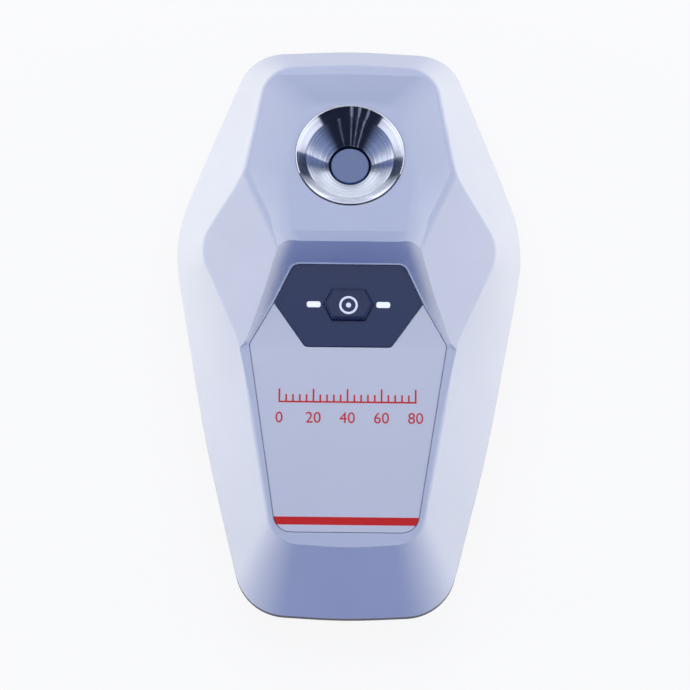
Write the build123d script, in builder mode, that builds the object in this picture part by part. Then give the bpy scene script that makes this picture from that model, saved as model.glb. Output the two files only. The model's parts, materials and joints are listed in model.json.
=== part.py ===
from build123d import *
import math
import os

# Pocket digital Abbe-type refractometer. Millimetres, +Z up, +Y towards the sample well,
# origin on the table under the middle of the housing.

# ---- heights and walls of the housing ----
foot_height = 1.2
parting_height = 10.5
lip_height = 1.5
plateau_height = 32.0
flank_corner_height = 24.3
form_margin = 2.0
wall = 2.0
base_taper = 4.0

# ---- the sloping label plane: the point where it bends off the flanks, and its tilt ----
label_pivot_y = -9.3
label_pivot_z = 23.9
label_tilt = 6.5

# ---- housing outlines, left half from the rear to the front: x, y, corner radius ----
# A radius of None is a soft bend, as wide as its shorter neighbouring run allows.
parting_outline = [
    (-20.4, 59.6, 9.6), (-29.62, 35.0, None), (-35.62, 17.6, 31.0), (-27.9, -25.0, None),
    (-19.35, -59.7, 10.2),
]
# The same five corners where the side walls end at the top.
crest_outline = [
    (-16.9, 46.3, 7.0), (-20.9, 23.4, None), (-29.8, 11.2, 9.0), (-21.0, label_pivot_y, None),
    (-14.4, -48.1, 5.0),
]
rear_bow = 1.15
front_bow = 1.05
soft_bend_share = 0.30
smallest_corner_radius = 0.8
smallest_wall_radius = 1.5
flank_low_x = 21.4
crest_fillet = 0.9
ridge_fillet = 1.6

# ---- label field: half outline from the rear to the front: x, y, corner radius ----
key_panel_outline = [(-10.9, 6.9, 2.0), (-14.6, -0.9, 0.6), (-8.4, -9.7, 1.0)]
label_shoulder = (-19.3, label_pivot_y, 1.0)
label_front_corner = (-13.6, -46.1, 3.5)
recess_margin = 0.3
recess_rear_lean = 38.5
recess_side_lean = 27.0
recess_wall_share = 1.2
recess_flare = 6.0
recess_flare_run = 4.0
recess_corner_radius = 1.0
panel_thickness = 0.8
panel_glue = 0.1
panel_gap = 0.15
panel_sink = 0.05

# ---- sample bowl: a shallow facetted hollow in the plateau, open to the front over a sloping lip ----
bowl_depth = 1.5
bowl_bow = 0.4
bowl_bow_radius = 90.0
bowl_rim = [(-16.2, 44.7, 3.0), (-19.8, 23.8, 4.0)]
bowl_floor_outline = [(-9.6, 38.9, 5.0), (-12.9, 24.0, 6.0)]
bowl_blend = 5.0
bowl_mouth_half_width = 15.0
bowl_mouth_floor_half_width = 12.4
bowl_mouth_length = 1.9
bowl_mouth_flare = 0.25
bowl_mouth_radius = 4.0
lip_length = 1.85
lip_tilt = 9.0
lip_cut_length = 8.0
lip_end_half_width = 12.6
lip_end_floor_half_width = 8.2
lip_blend = 5.0

# ---- sample well, a turned steel dish: an edge band, a steeper cone and the hole over the prism ----
well_y = 28.2
well_boss_radius = 12.4
well_boss_height = 1.0
dish_radius = 10.75
dish_fit = 0.1
dish_proud = 0.1
dish_edge = 0.2
dish_band_radius = 8.7
dish_band_drop = 1.1
dish_cone_drop = 3.85
dish_hole_radius = 4.2
dish_hole_edge = 0.12
dish_flange = 1.1
dish_neck_radius = 9.3
dish_neck_length = 3.6
dish_spigot_radius = 6.4
dish_spigot_length = 2.2
dish_gasket_thickness = 0.4
dish_gasket_margin = 0.2
seal_bore_radius = 5.1
seal_bore_depth = 1.2
seal_clearance = 0.05
nut_radius = 11.4
nut_height = 1.6
nut_notch_radius = 1.0
nut_notches = 6

# ---- prism and the optics block under it ----
prism_radius = 3.8
prism_below_hole = 0.25
prism_half_length = 5.0
prism_height = 5.0
prism_face_angle = 60.0
prism_bevel = 0.15
optics_gap = 0.1
optics_half_width = 8.0
optics_reach = 11.0
optics_end_height = 11.0
optics_ear_thickness = 2.0
optics_screw_x = 12.0
optics_screw_offset = 8.3
bore_radius = 3.2
lens_fit = 0.05
lens_thickness = 2.4
lens_setback = 4.0
lens_curve_share = 0.6
optics_board_width = 14.0
optics_board_thickness = 1.0
optics_board_corner = 1.0
pin_radius = 0.8
pin_head_radius = 1.4
pin_head_height = 0.8
pin_margin = 2.4
pin_grip = 3.0
probe_radius = 0.9
probe_length = 2.7
probe_tip_fillet = 0.5
probe_well_depth = 3.0
contact_paste = 0.02
source_side = 3.0
source_thickness = 0.9
source_dome_radius = 1.2
source_dome_height = 1.2
source_dome_fillet = 1.0
sensor_width = 2.8
sensor_length = 5.2
sensor_thickness = 1.1
sensor_slit_width = 0.6
sensor_slit_length = 4.2
sensor_slit_depth = 0.2

# ---- key, windows, switch and control board, measured down from the label plane ----
key_y = -1.2
key_half_width = 4.8
key_edge_half_width = 3.2
key_half_length = 3.1
key_proud = 0.9
key_bevel = 0.5
key_clearance = 0.15
key_travel = 0.5
key_flange_gap = 0.05
key_flange = 0.7
key_flange_margin = 1.0
key_stem_length = 0.25
plunger_radius = 1.5
plunger_clearance = 0.1
plunger_length = 1.6
switch_side = 6.2
switch_height = 2.5
switch_corner_chamfer = 0.5
window_width = 2.65
window_height = 1.15
window_corner = 0.4
window_x = 6.8
window_fit = 0.05
guide_lamp_gap = 0.2
guide_flange_height = 0.6
guide_flange_margin = 0.7
board_depth = 6.0
board_thickness = 1.0
board_half_outline = [(-17.5, 9.5, 1.0), (-17.5, -12.5, 1.0), (-12.0, -19.0, 1.0)]
board_boss_wall = 1.2

# ---- what the control board carries: x, y, width, length, height ----
processor_size = (0.0, -11.5, 7.0, 7.0, 0.9)
radio_size = (-9.5, 4.8, 7.0, 7.5, 1.8)
memory_size = (9.5, 5.2, 5.0, 4.0, 1.1)
indicator_size = (window_x, key_y, 3.0, 1.6, 0.9)
sensor_connector_size = (-1.0, 7.4, 7.6, 2.6, 1.6)
light_connector_size = (6.0, 4.2, 3.8, 2.6, 1.6)

# ---- flat ribbons between the small boards and the control board ----
ribbon_thickness = 0.25
ribbon_bend = 1.2
ribbon_lead = 3.4
sensor_ribbon_half_width = 3.0
light_ribbon_half_width = 1.2
light_ribbon_clearance = 2.1
light_ribbon_below_centre = 3.4
light_ribbon_turn = 1.8

# ---- screws ----
thread_fit = 0.01
screw_clearance = 0.1
case_screw_radius = 1.1
case_head_radius = 2.0
case_head_height = 1.3
case_head_sink = 0.1
case_screw_length = 9.0
optics_screw_grip = 3.6
small_screw_radius = 1.0
small_head_radius = 1.9
small_head_height = 1.0
small_screw_grip = 2.8
thread_spare = 0.4
head_edge_share = 0.3
tip_chamfer_share = 0.3
cross_length_share = 1.1
cross_width_share = 0.25
cross_depth_share = 0.45
pillar_radius = 2.8
case_pad_height = 1.8
case_screw_points = [(18.0, 43.5), (26.0, 10.0), (19.5, -28.0)]
board_screw_points = [(14.2, -13.0), (15.5, 4.0)]

# ---- lower housing: gasket in its rim, and ribs on its floor behind the battery bay ----
gasket_margin = 0.6
gasket_height = 0.7
rib_thickness = 1.2
rib_height = 1.5
cross_rib_places = [16.0, 27.0, 38.0]
long_rib_x = 8.0
long_rib_front_y = 6.0
long_rib_rear_y = 50.0

# ---- battery bay, for two AAA cells side by side ----
cell_radius = 5.25
cell_length = 44.5
cell_edge = 0.5
cell_nub_radius = 1.9
cell_nub_length = 1.3
cell_gap = 0.7
cell_clearance = 0.25
cell_lift = 0.05
bay_rear_y = 0.6
contact_thickness = 0.4
contact_half_width = 4.0
contact_corner = 1.0
contact_margin = 0.5
strip_width = 2.0
strip_overlap = 1.0
strip_slot_clearance = 0.1
spring_length = 2.5
spring_radius = 3.0
spring_wire = 0.3
spring_turns = 2
cradle_wall = 1.2
cradle_edge_fillet = 2.0
cradle_ear = 5.0
cradle_ear_height = 2.0
cradle_screw_y = -14.0

# ---- battery door ----
door_clearance = 0.1
door_thickness = 1.6
door_rear_gap = 0.2
door_rail = 1.0
door_rail_height = 0.6
door_rail_lift = 0.8
door_front_margin = 2.0
grip_groove = 0.4
grip_count = 5
grip_spacing = 2.2
grip_length = 14.0
grip_width = 1.0
grip_from_front = 8.0

# ---- feet ----
foot_radius = 3.4
foot_fit = 0.05
foot_recess = 0.5
foot_edge = 0.4
foot_points = [(13.5, 49.0), (16.8, -38.0)]

# ---- worked-out heights and planes ----
tilt = math.radians(label_tilt)
label_plane = Plane(
    origin=(0, label_pivot_y, label_pivot_z), x_dir=(1, 0, 0), z_dir=(0, -math.sin(tilt), math.cos(tilt))
)
form_top = plateau_height + form_margin
label_front_z = label_pivot_z + (parting_outline[-1][1] - label_pivot_y) * math.tan(tilt)
recess_depth = (form_top - label_front_z) * math.cos(tilt)
floor_top = foot_height + wall
lip_bottom = parting_height - lip_height
case_pad_top = floor_top + case_pad_height
screw_bottom = foot_height + case_head_sink
bowl_floor = plateau_height - bowl_depth
ceiling = bowl_floor - wall
# the recess's rear wall meets the bowl's floor, and the lip starts a lip's length behind it
riser_foot = (key_panel_outline[0][1] - label_pivot_y) / math.cos(tilt) + recess_margin
riser_slant = math.tan(math.radians(recess_rear_lean))
riser_rise = (bowl_floor - label_pivot_z - riser_foot * math.sin(tilt)) / (
    riser_slant * math.sin(tilt) + math.cos(tilt)
)
riser_top_y = (
    label_pivot_y + (riser_foot + riser_rise * riser_slant) * math.cos(tilt) - riser_rise * math.sin(tilt)
)
bowl_front_y = riser_top_y + lip_length
bowl_mouth_y = bowl_front_y + bowl_mouth_length

# ---- worked-out places of the sample well and its optics ----
gasket_top = bowl_floor - dish_flange
dish_seat = gasket_top - dish_gasket_thickness
boss_bottom = ceiling - well_boss_height
neck_bottom = gasket_top - dish_neck_length
spigot_bottom = neck_bottom - dish_spigot_length
band_bottom = bowl_floor - dish_band_drop
well_bottom = band_bottom - dish_cone_drop
seal_roof = spigot_bottom + seal_bore_depth
prism_top = well_bottom - prism_below_hole
prism_shoulder = spigot_bottom - optics_gap
prism_bottom = prism_shoulder - prism_height
face_angle = math.radians(prism_face_angle)
prism_foot_half = prism_half_length - prism_height / math.tan(face_angle)
face_centre = ((prism_half_length + prism_foot_half) / 2, (prism_shoulder + prism_bottom) / 2)
optics_top = spigot_bottom - optics_gap / 2
optics_screw_points = [(optics_screw_x, well_y + side * optics_screw_offset) for side in (-1, 1)]
optics_ear_bottom = optics_top - optics_ear_thickness
pin_x = bore_radius + pin_margin
probe_x = (seal_bore_radius + dish_spigot_radius) / 2

# ---- worked-out depths under the label plane ----
key_bottom = wall + key_flange_gap
flange_bottom = key_bottom + key_flange
plunger_top = flange_bottom + key_stem_length
switch_top = board_depth - switch_height
guide_bottom = board_depth - indicator_size[4] - guide_lamp_gap
board_underside = board_depth + board_thickness

# ---- worked-out places of the battery bay ----
bay_half_width = 2 * cell_radius + cell_gap / 2 + cell_clearance
cell_x = cell_radius + cell_gap / 2
cell_bottom = floor_top + cell_lift
cell_z = cell_bottom + cell_radius
bay_top = cell_z + cell_radius + cell_clearance
bay_front_y = bay_rear_y - 2 * contact_thickness - cell_length - spring_length
contact_bottom = cell_bottom + contact_margin
contact_top = bay_top - contact_margin
cradle_half_width = bay_half_width + cradle_wall
cradle_screw_points = [(cradle_half_width + cradle_ear / 2, cradle_screw_y)]
cradle_ear_bottom = floor_top + cradle_ear_height
door_top = foot_height + door_thickness
rail_bottom = foot_height + door_rail_lift
door_half_width = bay_half_width + door_clearance
door_rear_y = bay_rear_y + door_rear_gap
door_front_y = parting_outline[-1][1] - door_front_margin


def along_label(y):
    """Distance up the label plane of a point seen from above at y."""
    return (y - label_pivot_y) / math.cos(tilt)


def under_label(y, depth):
    """Height of the surface that lies a depth below the label plane, seen from above at y."""
    return label_pivot_z + (y - label_pivot_y) * math.tan(tilt) - depth / math.cos(tilt)


def plane_at(x, y, depth):
    """Plane parallel to the label plane, its origin at x, y and a depth below the label."""
    origin = label_plane.from_local_coords(Vector(x, along_label(y), -depth))
    return Plane(origin=origin, x_dir=(1, 0, 0), z_dir=label_plane.z_dir)


def both_sides(points):
    """Each point and its mirror image across the middle plane."""
    return [(side * x, y) for x, y in points for side in (-1, 1)]


def mirrored(half, bow=0.0):
    """A closed outline and its radii from the left half, its rear edge bowed out at the middle."""
    ring = [(x, y) for x, y, _ in half]
    radii = [radius for *_, radius in half]
    ring += [(-x, y) for x, y in ring[::-1]]
    radii += radii[::-1]
    if bow:
        ring.append((0, half[0][1] + bow))
        radii.append(bowl_bow_radius)
    return ring, radii


def moved_ring(ring, distances):
    """A clockwise outline with its sides moved inwards, each by its distance, or the other way outwards."""
    count = len(ring)
    moved = []
    for i, point in enumerate(ring):
        before, here, after = Vector(*ring[i - 1]), Vector(*point), Vector(*ring[(i + 1) % count])
        coming = (here - before).normalized()
        going = (after - here).normalized()
        normal_in = Vector(coming.Y, -coming.X)
        normal_out = Vector(going.Y, -going.X)
        near, far = distances[i - 1], distances[i]
        share = normal_in.dot(normal_out)
        shift = normal_in * (near - far * share) + normal_out * (far - near * share)
        corner = here + shift * (1 / (1 - share**2))
        moved.append((corner.X, corner.Y))
    return moved


def rounded_face(ring, radii, plane):
    """A face within a closed outline whose corners are rounded."""
    with BuildSketch(plane) as face:
        with BuildLine():
            FilletPolyline(*ring, radius=radii, close=True)
        make_face()
    return face.sketch


def outline_face(half, height, inset=0.0):
    """The housing's rounded outline at one height, from the corners of its left half."""
    rear_scale = half[0][0] / parting_outline[0][0]
    front_scale = half[-1][0] / parting_outline[-1][0]
    left = [(x, y) for x, y, _ in half]
    radii = [radius for *_, radius in half]
    ring = [(0, left[0][1] + rear_bow * rear_scale)] + [(-x, y) for x, y in left]
    ring += [(0, left[-1][1] - front_bow * front_scale)] + left[::-1]
    radii = [None] + radii + [None] + radii[::-1]
    if inset:
        ring = moved_ring(ring, [inset] * len(ring))
    rounded = []
    for i, radius in enumerate(radii):
        before = Vector(*ring[i]) - Vector(*ring[i - 1])
        after = Vector(*ring[(i + 1) % len(ring)]) - Vector(*ring[i])
        if radius is None:
            half_turn = math.radians(before.get_angle(after) / 2)
            rounded.append(soft_bend_share * min(before.length, after.length) / math.tan(half_turn))
        else:
            rounded.append(max(radius - inset, smallest_corner_radius))
    return rounded_face(ring, rounded, Plane.XY.offset(height))


crest_heights = [
    plateau_height, plateau_height, flank_corner_height, label_pivot_z, under_label(crest_outline[-1][1], 0),
]


def wall_outline(height):
    """Corners of the leaning upper walls at one height."""
    half = []
    for (x0, y0, r0), (x1, y1, r1), crest_height in zip(parting_outline, crest_outline, crest_heights):
        share = (height - parting_height) / (crest_height - parting_height)
        radius = None if r0 is None else max(r0 + (r1 - r0) * share, smallest_wall_radius)
        half.append((x0 + (x1 - x0) * share, y0 + (y1 - y0) * share, radius))
    return half


def flank_plane(side, inset=0.0):
    """The facet that falls outwards from the plateau's corner on one side."""
    top = Vector(-crest_outline[1][0] * side, crest_outline[1][1], plateau_height)
    middle = Vector(-crest_outline[2][0] * side, crest_outline[2][1], flank_corner_height)
    low = Vector(flank_low_x * side, label_pivot_y, label_pivot_z)
    normal = (middle - top).cross(low - top).normalized()
    normal = normal * math.copysign(1, normal.Z)
    return Plane(origin=top - normal * inset, z_dir=normal)


def field_outline():
    """The label field: key panel and label together, left half."""
    return key_panel_outline[:2] + [label_shoulder, label_front_corner]


def recess_outline():
    """The step around the label field, open towards the front."""
    open_x = label_shoulder[0] - recess_flare
    return key_panel_outline[:2] + [
        label_shoulder,
        (open_x, label_shoulder[1] - recess_flare_run, recess_corner_radius),
        (open_x, parting_outline[-1][1], recess_corner_radius),
    ]


def label_face(half, depth, grow=0.0):
    """A mirrored outline drawn on the label plane or below it."""
    ring, radii = mirrored([(x, along_label(y), radius) for x, y, radius in half])
    with BuildSketch(label_plane.offset(-depth)) as face:
        with BuildLine():
            FilletPolyline(*ring, radius=radii, close=True)
        make_face()
        if grow:
            offset(amount=grow, kind=Kind.INTERSECTION)
    return face.sketch


def recess_form(inset):
    """What is cut away over the label field: its walls lean out to the rear and to the sides."""
    ring, radii = mirrored([(x, along_label(y), radius) for x, y, radius in recess_outline()])
    start = recess_margin + recess_wall_share * inset
    leans = [recess_side_lean] * (len(ring) - 1) + [recess_rear_lean]
    spread = [start + recess_depth * math.tan(math.radians(lean)) for lean in leans]
    with BuildPart() as room:
        low = rounded_face(moved_ring(ring, [start] * len(ring)), radii, label_plane.offset(-inset))
        high = rounded_face(moved_ring(ring, spread), radii, label_plane.offset(recess_depth - inset))
        loft([low, high], ruled=True)
    return room.part


def leaning_walls(inset=0.0):
    """Solid within the leaning walls, from the parting line to above the plateau."""
    with BuildPart() as skirt:
        loft([outline_face(wall_outline(z), z, inset) for z in (parting_height, form_top)], ruled=True)
    return skirt.part


def top_form(inset=0.0, top=plateau_height, soft=False):
    """The upper housing's outer form, or the hollow inside it for a given inset."""
    walls = leaning_walls(inset)
    with BuildPart() as front:
        add(walls)
        split(bisect_by=label_plane.offset(-inset), keep=Keep.BOTTOM)
        if soft:
            fillet(front.faces().sort_by(Axis.Z)[-1].edges(), crest_fillet)
        split(bisect_by=Plane.XZ.offset(-label_pivot_y), keep=Keep.TOP)
    with BuildPart() as form:
        add(walls)
        split(bisect_by=Plane.XY.offset(top), keep=Keep.BOTTOM)
        for side in (-1, 1):
            split(bisect_by=flank_plane(side, inset), keep=Keep.BOTTOM)
        if soft:
            plateau = form.faces().sort_by(Axis.Z)[-1]
            ridges = plateau.edges().filter_by(GeomType.LINE).filter_by(
                lambda e: abs(e.tangent_at(0.5).Y) > 0.8 and e.center().Y < crest_outline[1][1]
            )
            fillet(ridges, ridge_fillet)
            plateau = form.faces().sort_by(Axis.Z)[-1]
            flanks = form.faces().filter_by(GeomType.PLANE).filter_by(
                lambda f: 0.8 < f.normal_at().Z < 0.99 and f.center().Z > parting_height
            )
            rim = plateau.edges().filter_by(lambda e: e.center().Y > crest_outline[1][1])
            sides = flanks.edges().filter_by(lambda e: abs(e.center().X) > -crest_outline[1][0])
            fillet(rim + sides, crest_fillet)
        add(recess_form(inset), mode=Mode.SUBTRACT)
        add(front.part)
    return form.part


def sample_bowl():
    """The solid that is cut out of the plateau: a hollow with sloping sides and its way out over the lip."""
    rim_mouth, floor_mouth = bowl_mouth_half_width, bowl_mouth_floor_half_width
    rim_half = bowl_rim + [
        (-rim_mouth - bowl_mouth_flare, bowl_mouth_y, bowl_mouth_radius), (-rim_mouth, bowl_front_y, 0),
    ]
    floor_half = bowl_floor_outline + [
        (-floor_mouth - bowl_mouth_flare, bowl_mouth_y, bowl_mouth_radius), (-floor_mouth, bowl_front_y, 0),
    ]
    rim_ring, rim_radii = mirrored(rim_half, bowl_bow)
    floor_ring, floor_radii = mirrored(floor_half, bowl_bow)
    lip_drop = math.tan(math.radians(lip_tilt)) * lip_cut_length
    with BuildPart() as hollow:
        rim = rounded_face(rim_ring, rim_radii, Plane.XY.offset(plateau_height))
        floor = rounded_face(floor_ring, floor_radii, Plane.XY.offset(bowl_floor))
        loft([floor, rim], ruled=True)
        floor_edges = hollow.edges().filter_by(lambda e: e.center().Z < bowl_floor + 0.001)
        fillet(floor_edges.filter_by(lambda e: e.center().Y > bowl_front_y + 0.001), bowl_blend)
    with BuildPart() as lip:
        mouth = [
            (-lip_end_half_width, plateau_height), (lip_end_half_width, plateau_height),
            (lip_end_floor_half_width, bowl_floor - lip_drop),
            (-lip_end_floor_half_width, bowl_floor - lip_drop),
        ]
        start = [
            (-rim_mouth, plateau_height), (rim_mouth, plateau_height), (floor_mouth, bowl_floor),
            (-floor_mouth, bowl_floor),
        ]
        with BuildSketch(Plane.XZ.offset(-bowl_front_y)) as start_face:
            Polygon(*start, align=None)
        with BuildSketch(Plane.XZ.offset(lip_cut_length - bowl_front_y)) as mouth_face:
            Polygon(*mouth, align=None)
        loft([start_face.sketch, mouth_face.sketch], ruled=True)
        floor_sides = lip.edges().filter_by(lambda e: abs(e.tangent_at(0.5).Y) > 0.8)
        fillet(floor_sides.filter_by(lambda e: e.center().Z < bowl_floor), lip_blend)
    return hollow.part, lip.part


def clipped_pillars(points, radius, bottom, plane=Plane.XY):
    """Round pillars from a level up to the middle of the housing's skin."""
    with BuildPart() as pillars:
        with BuildSketch(plane.offset(bottom)):
            with Locations(*both_sides(points)):
                Circle(radius)
        extrude(amount=form_top)
        add(skin_middle, mode=Mode.INTERSECT)
    return pillars.part


def base_form(inset=0.0, bottom=foot_height):
    """The lower housing's tub: an upright lip above walls that taper in to a flat bottom."""
    share = (lip_bottom - bottom) / (lip_bottom - foot_height)
    with BuildPart() as tub:
        low = outline_face(parting_outline, bottom, inset + base_taper * share)
        rim = outline_face(parting_outline, lip_bottom, inset)
        loft([low, rim], ruled=True)
        extrude(outline_face(parting_outline, lip_bottom, inset), amount=lip_height)
    return tub.part


def gasket_ring(bottom):
    """The ring that lies in the lower housing's rim, up to the parting line."""
    with BuildPart() as ring:
        extrude(outline_face(parting_outline, bottom, gasket_margin), amount=gasket_height)
        inner_edge = outline_face(parting_outline, bottom, wall - gasket_margin)
        extrude(inner_edge, amount=gasket_height, mode=Mode.SUBTRACT)
    return ring


def bay_face(half_width, rear_y, front_y, height):
    """A rectangle across the battery bay between two places along it."""
    with BuildSketch(Plane.XY.offset(height)) as face:
        with Locations((0, (rear_y + front_y) / 2)):
            Rectangle(2 * half_width, rear_y - front_y)
    return face.sketch


def key_face(grow=0.0):
    """The key's six-sided outline."""
    corners = [
        (-key_edge_half_width, key_half_length, 0), (-key_half_width, 0, 0),
        (-key_edge_half_width, -key_half_length, 0),
    ]
    with BuildSketch(Plane.XY) as face:
        Polygon(*mirrored(corners)[0], align=None)
        if grow:
            offset(amount=grow, kind=Kind.INTERSECTION)
    return face.sketch


def window_face(grow=0.0):
    """The rounded outline of a light window."""
    with BuildSketch(Plane.XY) as face:
        RectangleRounded(window_width + 2 * grow, window_height + 2 * grow, window_corner + grow)
    return face.sketch


def pan_screw(head_radius, head_height, shank_radius, shank_length):
    """A pan-head screw with a cross recess, head at the bottom, shank upwards from z = 0."""
    with BuildPart() as screw:
        with BuildSketch(Plane.XY):
            Circle(head_radius)
        extrude(amount=-head_height)
        head_edge = screw.edges().filter_by(GeomType.CIRCLE).sort_by(Axis.Z)[0]
        fillet(head_edge, head_edge_share * head_height)
        with BuildSketch(Plane.XY):
            Circle(shank_radius)
        extrude(amount=shank_length)
        tip_edge = screw.edges().filter_by(GeomType.CIRCLE).sort_by(Axis.Z)[-1]
        chamfer(tip_edge, tip_chamfer_share * shank_radius)
        with BuildSketch(Plane.XY.offset(-head_height)):
            Rectangle(cross_length_share * head_radius, cross_width_share * head_radius)
            Rectangle(cross_width_share * head_radius, cross_length_share * head_radius)
        extrude(amount=cross_depth_share * head_height, mode=Mode.SUBTRACT)
    return screw.part


def screws(places, screw):
    """The same screw at several places."""
    with BuildPart() as group:
        with Locations(*places):
            add(screw)
    return group


# ==== upper housing: a faceted shell with the bowl, the label recess and its screw pillars ====
skin_middle = top_form(inset=wall / 2, top=ceiling + wall / 2)
cavity = top_form(inset=wall, top=ceiling)
bowl_hollow, bowl_lip = sample_bowl()
board_boss_points = [(x, along_label(y)) for x, y in board_screw_points]
window_points = [(window_x, along_label(key_y)), (-window_x, along_label(key_y))]
well_hole_depth = bowl_floor - boss_bottom
case_thread_depth = screw_bottom + case_head_height + case_screw_length + thread_spare - case_pad_top

with BuildPart() as upper_housing:
    add(top_form(soft=True))
    add(cavity, mode=Mode.SUBTRACT)
    # ring that carries the dish and its nut
    with BuildSketch(Plane.XY.offset(boss_bottom)):
        with Locations((0, well_y)):
            Circle(well_boss_radius)
    extrude(amount=well_boss_height + wall / 2)
    add(bowl_hollow, mode=Mode.SUBTRACT)
    add(bowl_lip, mode=Mode.SUBTRACT)
    # label pocket
    extrude(
        label_face(field_outline(), 0), amount=-(panel_thickness + panel_glue), dir=label_plane.z_dir,
        mode=Mode.SUBTRACT,
    )
    # pillars for the case screws, and bosses for the optics and the control board
    add(clipped_pillars(case_screw_points, pillar_radius, parting_height))
    with BuildSketch(Plane.XY.offset(case_pad_top)):
        with Locations(*both_sides(case_screw_points)):
            Circle(pillar_radius)
    extrude(amount=parting_height - case_pad_top)
    add(clipped_pillars(optics_screw_points, pillar_radius, optics_top))
    add(clipped_pillars(board_boss_points, small_screw_radius + board_boss_wall, -board_depth, label_plane))
    # seat and hole for the dish
    with BuildSketch(Plane.XY.offset(bowl_floor)):
        with Locations((0, well_y)):
            Circle(dish_radius + dish_fit)
    extrude(amount=dish_seat - bowl_floor, mode=Mode.SUBTRACT)
    with BuildSketch(Plane.XY.offset(bowl_floor)):
        with Locations((0, well_y)):
            Circle(dish_neck_radius + dish_fit)
    extrude(amount=-well_hole_depth, mode=Mode.SUBTRACT)
    # key and window apertures
    with BuildSketch(label_plane):
        with Locations((0, along_label(key_y))):
            add(key_face(2 * key_clearance))
        with Locations(*window_points):
            add(window_face(panel_gap))
    extrude(amount=-(wall + panel_gap), mode=Mode.SUBTRACT)
    # threaded holes
    with BuildSketch(Plane.XY.offset(case_pad_top)):
        with Locations(*both_sides(case_screw_points)):
            Circle(case_screw_radius + thread_fit)
    extrude(amount=case_thread_depth, mode=Mode.SUBTRACT)
    with BuildSketch(Plane.XY.offset(optics_top)):
        with Locations(*both_sides(optics_screw_points)):
            Circle(case_screw_radius + thread_fit)
    extrude(amount=optics_screw_grip + thread_spare, mode=Mode.SUBTRACT)
    with BuildSketch(label_plane.offset(-board_depth)):
        with Locations(*both_sides(board_boss_points)):
            Circle(small_screw_radius + thread_fit)
    extrude(amount=small_screw_grip + thread_spare, mode=Mode.SUBTRACT)


# ==== lower housing: the dark tub with the battery opening, rails, screw pads and the gasket groove ====
housing_gasket = gasket_ring(parting_height - gasket_height)

with BuildPart() as lower_housing:
    add(base_form())
    add(base_form(inset=wall, bottom=floor_top), mode=Mode.SUBTRACT)
    # ribs on the floor behind the battery bay
    long_rib_length = long_rib_rear_y - long_rib_front_y
    with BuildSketch(Plane.XY.offset(foot_height)):
        with Locations((long_rib_x, long_rib_front_y), (-long_rib_x, long_rib_front_y)):
            Rectangle(rib_thickness, long_rib_length, align=(Align.CENTER, Align.MIN))
        with Locations(*[(0, y) for y in cross_rib_places]):
            Rectangle(-2 * parting_outline[1][0], rib_thickness)
    extrude(amount=wall + rib_height)
    add(base_form(), mode=Mode.INTERSECT)
    # pads that meet the upper housing's pillars, and pads under the cradle's ears
    with BuildSketch(Plane.XY.offset(foot_height)):
        with Locations(*both_sides(case_screw_points)):
            Circle(pillar_radius)
    extrude(amount=case_pad_top - foot_height)
    with BuildSketch(Plane.XY.offset(foot_height)):
        with Locations(*both_sides(cradle_screw_points)):
            Circle(cradle_ear / 2)
    extrude(amount=cradle_ear_bottom - foot_height)
    add(housing_gasket.part, mode=Mode.SUBTRACT)
    # screw heads and shanks from below
    with BuildSketch(Plane.XY.offset(foot_height)):
        with Locations(*both_sides(case_screw_points)):
            Circle(case_head_radius + screw_clearance)
    extrude(amount=case_head_sink + case_head_height, mode=Mode.SUBTRACT)
    with BuildSketch(Plane.XY.offset(foot_height)):
        with Locations(*both_sides(case_screw_points)):
            Circle(case_screw_radius + screw_clearance)
    extrude(amount=case_pad_top - foot_height, mode=Mode.SUBTRACT)
    with BuildSketch(Plane.XY.offset(cradle_ear_bottom)):
        with Locations(*both_sides(cradle_screw_points)):
            Circle(small_screw_radius + thread_fit)
    extrude(amount=-(small_screw_grip + thread_spare), mode=Mode.SUBTRACT)
    # recesses for the feet
    with BuildSketch(Plane.XY.offset(foot_height)):
        with Locations(*both_sides(foot_points)):
            Circle(foot_radius)
    extrude(amount=foot_recess, mode=Mode.SUBTRACT)
    # battery opening, its two rail grooves and the door's way out at the front
    slot_rear_y = door_rear_y + door_clearance
    extrude(
        bay_face(door_half_width, slot_rear_y, door_front_y, 0), amount=door_top + door_clearance,
        mode=Mode.SUBTRACT,
    )
    extrude(bay_face(bay_half_width, door_rear_y, bay_front_y, 0), amount=cell_bottom, mode=Mode.SUBTRACT)
    extrude(
        bay_face(door_half_width + door_rail, slot_rear_y, door_front_y, rail_bottom - door_clearance),
        amount=door_rail_height + 2 * door_clearance, mode=Mode.SUBTRACT,
    )

with BuildPart() as battery_door:
    add(base_form())
    extrude(
        bay_face(door_half_width - door_clearance, door_rear_y, door_front_y, 0), amount=door_top,
        mode=Mode.INTERSECT,
    )
    extrude(
        bay_face(door_half_width + door_rail - door_clearance, door_rear_y, bay_front_y, rail_bottom),
        amount=door_rail_height,
    )
    with BuildSketch(Plane.XY.offset(foot_height)):
        with Locations((0, bay_front_y + grip_from_front)):
            with GridLocations(0, grip_spacing, 1, grip_count):
                SlotOverall(grip_length, grip_width)
    extrude(amount=grip_groove, mode=Mode.SUBTRACT)

with BuildPart() as feet:
    with BuildSketch(Plane.XY):
        with Locations(*both_sides(foot_points)):
            Circle(foot_radius - foot_fit)
    extrude(amount=foot_height + foot_recess)
    fillet(feet.edges().filter_by(GeomType.CIRCLE).filter_by(lambda e: e.center().Z < foot_edge), foot_edge)

case_screw = pan_screw(case_head_radius, case_head_height, case_screw_radius, case_screw_length)
housing_screws = screws(
    [(x, y, screw_bottom + case_head_height) for x, y in both_sides(case_screw_points)], case_screw
)

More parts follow.
